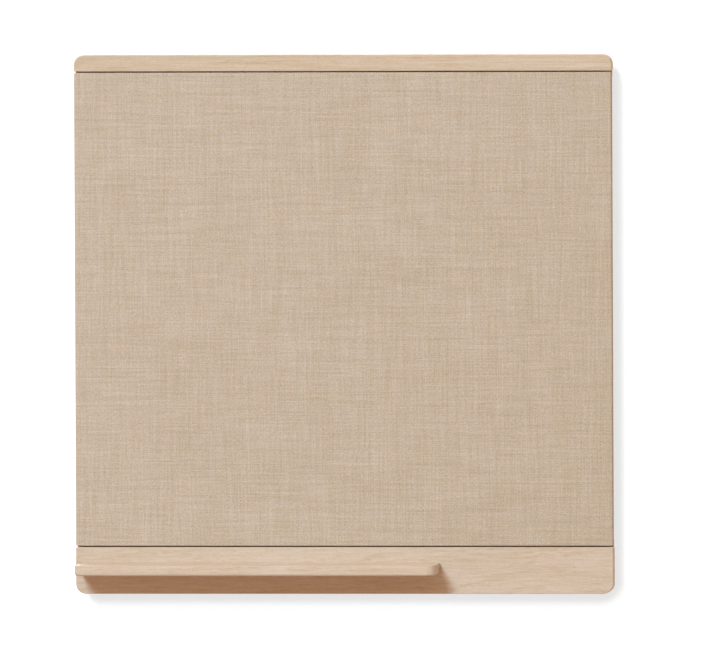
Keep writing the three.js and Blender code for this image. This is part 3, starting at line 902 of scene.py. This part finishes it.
def shown_rays(w):
    """1 for a ray that shows a surface to the camera, straight, mirrored or through glass."""
    rays = w.node("LightPath").outputs
    shown = w.maths("MAXIMUM", rays["Is Camera Ray"], rays["Is Glossy Ray"])
    return w.maths("MAXIMUM", shown, rays["Is Transmission Ray"])


def make_backdrop():
    """A wall that turns into a floor: straight down, a quarter circle, then straight forward,
    carried along X. It is white to the camera, keeps the board's shadow, and is clear from
    behind."""
    wall, top, foot, front = wall_plane + wall_gap, 2.4, -1.9, -3.4
    sweep, half_width = 0.6, 3.6
    bend = arc(0, 90, 24)
    y = np.concatenate([[wall], wall - sweep * (1 - np.cos(bend)), [front]])
    z = np.concatenate([[top], foot + sweep * (1 - np.sin(bend)), [foot]])
    sides = [np.stack([np.full_like(y, x), y, z], axis=-1) for x in (-half_width, half_width)]
    points = np.stack(sides, axis=1)
    mesh = bpy.data.meshes.new("backdrop")
    faces = quads(grid((y.size, 2))[::-1])
    mesh.from_pydata(points.reshape(-1, 3).tolist(), [], faces.tolist())
    mesh.polygons.foreach_set("use_smooth", [True] * len(mesh.polygons))
    mesh.materials.append(backdrop_material())
    backdrop = put("backdrop", mesh)
    return backdrop


def backdrop_material():
    """Pale paint that shows the camera its own white and stops no lamp. Its glow is painted light:
    dim and tinted near the board so that the board's real shadow shows neutral grey, and brighter
    over a rounded band that starts at the board's outline as the camera sees it, further in at the
    left and upper edges, so that the shadow fades out to white."""
    material = bpy.data.materials.new("pale backdrop")
    material.use_nodes = True
    w = Wiring(material.node_tree)
    w.tree.nodes.clear()
    place = w.node("TexCoord").outputs["Object"]
    pale_paint, paint_grain = (0.57, 0.43, 0.40, 1), (0.55, 0.41, 0.38, 1)
    shadow_glow, white_glow = (0.440, 0.587, 0.638, 1), (0.66, 0.82, 0.88, 1)
    grain = w.maths("MULTIPLY", w.noise(place, detail=3.0), 0.02)
    paint = w.mix(grain, pale_paint, paint_grain)
    painted = w.node("BsdfDiffuse", {"Color": paint}).outputs[0]
    low, high = rail_low + fade_low_shift, top_high + fade_high_shift
    middle, half = (low + high) / 2, (high - low) / 2 - fade_corner
    away = w.vector("ABSOLUTE", w.vector("SUBTRACT", place, tuple(middle.tolist())))
    away = w.vector("MAXIMUM", w.vector("SUBTRACT", away, tuple(half.tolist())), (0, 0, 0))
    away = w.maths("SUBTRACT", w.length(w.vector("MULTIPLY", away, (1, 0, 1))), fade_corner)
    # painted light: the glow rises from the dim shadow tint to near white away from the board,
    # fading the real shadow out
    fade = w.ramp(away, fade_start, fade_end)
    painted_fade_glow = w.mix(fade, shadow_glow, white_glow)
    painted_glow_emission = w.node("Emission", {"Color": painted_fade_glow, "Strength": 1.0}).outputs[0]
    front = w.node("AddShader", {0: painted, 1: painted_glow_emission}).outputs[0]
    clear = w.node("BsdfTransparent").outputs[0]
    in_front = w.maths("SUBTRACT", 1.0, w.node("NewGeometry").outputs["Backfacing"])
    shown = w.maths("MULTIPLY", shown_rays(w), in_front)
    surface = w.node("MixShader", {0: shown, 1: clear, 2: front}).outputs[0]
    w.node("OutputMaterial", {"Surface": surface})
    return material


def light_studio():
    """A large soft key from the upper left, a faint cool lamp from the right, a lamp overhead, a
    soft lamp for the back, and a warm fill from all round that the camera sees as white."""
    for name, travel, energy, angle, tint in (
        ("key", (0.27, 1.0, -0.52), 2.335, 14, (0.617, 0.856, 0.972)),
        ("side", (-1.0, 0.25, 0.1), 0.15, 30, (0.05, 0.70, 1.0)),
        ("top", (0.0, 0.06, -1.0), 0.78, 40, (1.0, 0.87, 0.86)),
        ("back", (0.3, -1.0, -0.5), 2.3, 20, (0.62, 0.90, 1.0)),
    ):
        lamp = bpy.data.lights.new(name, "SUN")
        lamp.energy, lamp.angle, lamp.color = energy, math.radians(angle), tint
        put(name, lamp).rotation_euler = Vector(travel).to_track_quat("-Z", "Y").to_euler()
    world = bpy.data.worlds.new("studio")
    world.use_nodes = True
    bpy.context.scene.world = world
    w = Wiring(world.node_tree)
    w.tree.nodes.clear()
    warm, white = (1.0, 0.668, 0.455, 1), (1, 1, 1, 1)
    fill = w.node("Background", {"Color": warm, "Strength": 0.585}).outputs[0]
    ground = w.node("Background", {"Color": white, "Strength": 1.0}).outputs[0]
    both = w.node("MixShader", {0: shown_rays(w), 1: fill, 2: ground}).outputs[0]
    w.node("OutputWorld", {"Surface": both})


def place_camera():
    """A long lens a little to the right of the board and above it, for a frame of 720 by 664
    pixels. The board's centre stands left of the frame's and above it."""
    side, lift, lean = (math.radians(angle) for angle in (azimuth, elevation, roll))
    target = Vector((0.0, float(rail_low[1]), float(rail_low[2] + top_high[2]) / 2))
    back = Vector((
        math.sin(side) * math.cos(lift),
        -math.cos(side) * math.cos(lift),
        math.sin(lift),
    ))
    level = (-back).cross(Vector((0, 0, 1))).normalized()
    upright = level.cross(-back)
    right = math.cos(lean) * level + math.sin(lean) * upright
    up = -math.sin(lean) * level + math.cos(lean) * upright
    lens = bpy.data.cameras.new("camera")
    lens.lens, lens.sensor_width = focal_length, sensor_width
    lens.clip_start, lens.clip_end = 0.1, 100.0
    turn = Matrix((right, up, back)).transposed().to_4x4()
    spot = target + back * distance + right * slide_right + up * slide_up
    camera = put("camera", lens)
    camera.matrix_world = Matrix.Translation(spot) @ turn
    bpy.context.scene.camera = camera


bpy.context.scene.view_settings.view_transform = "Standard"
place_camera()
light_studio()
make_backdrop()
make_board()
